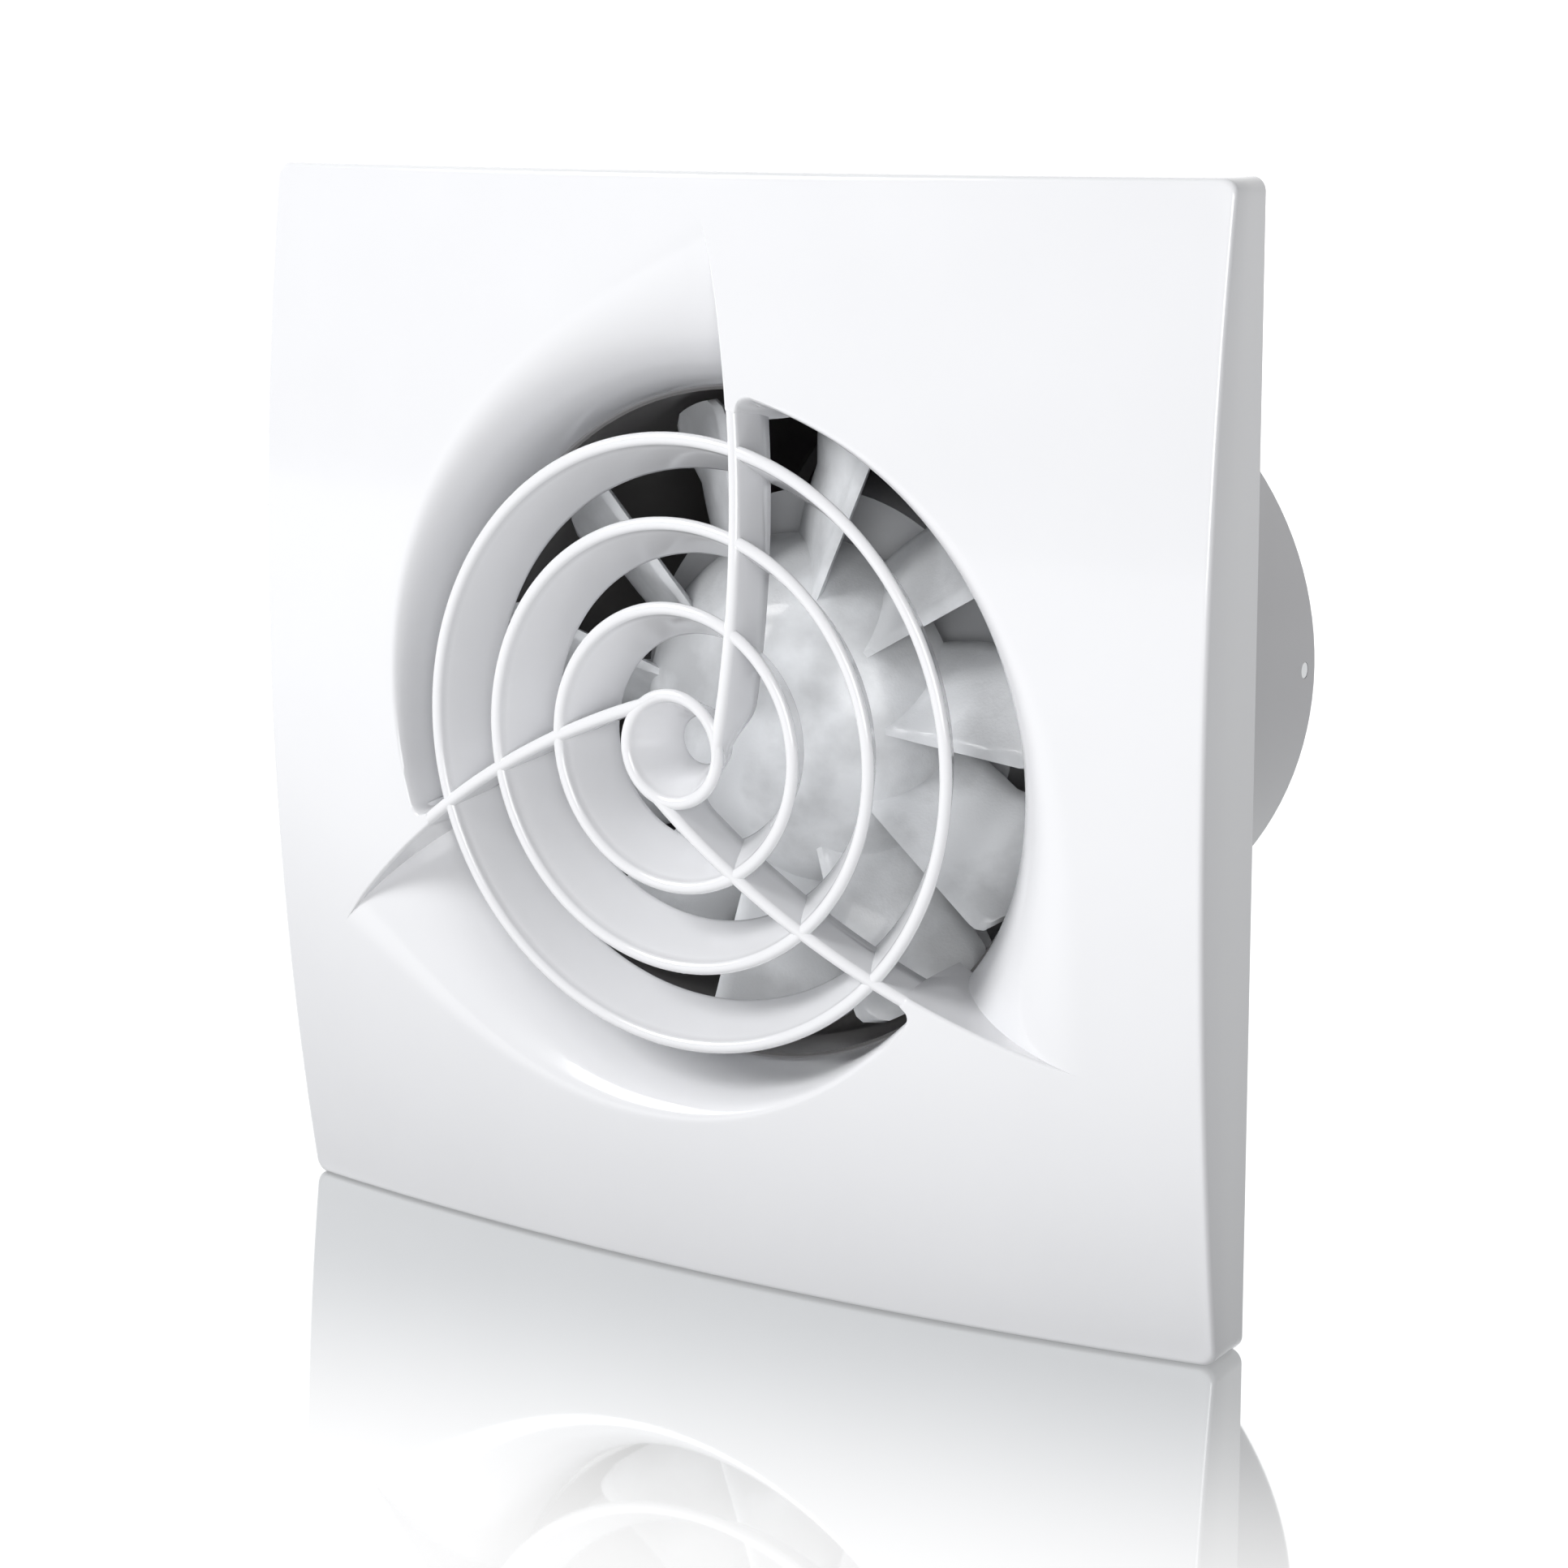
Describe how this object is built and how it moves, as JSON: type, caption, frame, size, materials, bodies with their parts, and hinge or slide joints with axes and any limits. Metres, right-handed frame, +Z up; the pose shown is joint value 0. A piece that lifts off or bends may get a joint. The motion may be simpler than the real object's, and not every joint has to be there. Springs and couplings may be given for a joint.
{
  "type": "bathroom extractor fan",
  "caption": "Square wall extractor fan with a domed ring grille, a shaded-pole motor in a round spigot, a bladed impeller and a back-draught damper.",
  "frame": {"origin": "where the duct axis meets the wall plane, at the back of the plate", "axes": "+X right and +Z up as seen from the room, +Y into the wall along the duct"},
  "size_m": [0.158, 0.1036, 0.158],
  "materials": {
    "cover_white": "gloss",
    "housing_white": "satin",
    "bracket_grey": "satin",
    "impeller_grey": "fine grain",
    "zinc_steel": "zinc plated",
    "shield_steel": "pressed",
    "laminations": "varnished",
    "copper": "enamelled",
    "bobbin": "satin",
    "bronze": "sintered",
    "shaft_steel": "ground",
    "rotor_aluminium": "cast",
    "washer_nylon": "satin",
    "terminal_nylon": "satin",
    "terminal_brass": "plated",
    "lead_brown": "satin",
    "lead_blue": "satin",
    "grommet_rubber": "matte",
    "flap_grey": "satin",
    "spring_steel": "drawn"
  },
  "bodies": {
    "fixed": {"front_panel": "cover_white", "grille_ring_one": "cover_white", "grille_ring_two": "cover_white", "grille_ring_three": "cover_white", "grille_ring_four": "cover_white", "grille_arms": "cover_white", "back_plate": "housing_white", "spigot": "housing_white", "motor_bracket": "bracket_grey", "bracket_screws": "zinc_steel", "front_end_shield": "shield_steel", "rear_end_shield": "shield_steel", "stator_core": "laminations", "coil_bobbins": "bobbin", "windings": "copper", "front_bearing_bush": "bronze", "rear_bearing_bush": "bronze", "motor_screws": "zinc_steel", "terminal_block": "terminal_nylon", "terminal_inserts": "terminal_brass", "terminal_screws": "zinc_steel", "terminal_block_screw": "zinc_steel", "motor_lead_live": "lead_brown", "motor_lead_neutral": "lead_blue", "cable_grommet": "grommet_rubber", "cable_clamp": "housing_white", "cable_clamp_screws": "zinc_steel", "damper_axle": "shaft_steel"},
    "rotor": {"motor_shaft": "shaft_steel", "rotor_core": "laminations", "rotor_end_rings": "rotor_aluminium", "thrust_washers": "washer_nylon", "impeller": "impeller_grey"},
    "upper_flap": {"upper_damper_flap": "flap_grey", "upper_damper_spring": "spring_steel"},
    "lower_flap": {"lower_damper_flap": "flap_grey", "lower_damper_spring": "spring_steel"}
  },
  "joints": [
    {"name": "rotor_spin", "type": "hinge", "parent": "fixed", "child": "rotor", "pos_m": [0, 0.035, 0], "axis": [0, 1, 0], "continuous": true},
    {"name": "upper_flap_swing", "type": "hinge", "parent": "fixed", "child": "upper_flap", "pos_m": [0, 0.0785, 0], "axis": [-1, 0, 0], "range_deg": [0, 70], "stiffness_Nm_per_rad": 0.004, "springref_deg": -34.38},
    {"name": "lower_flap_swing", "type": "hinge", "parent": "fixed", "child": "lower_flap", "pos_m": [0, 0.0785, 0], "axis": [1, 0, 0], "range_deg": [0, 70], "stiffness_Nm_per_rad": 0.004, "springref_deg": -11.46}
  ]
}
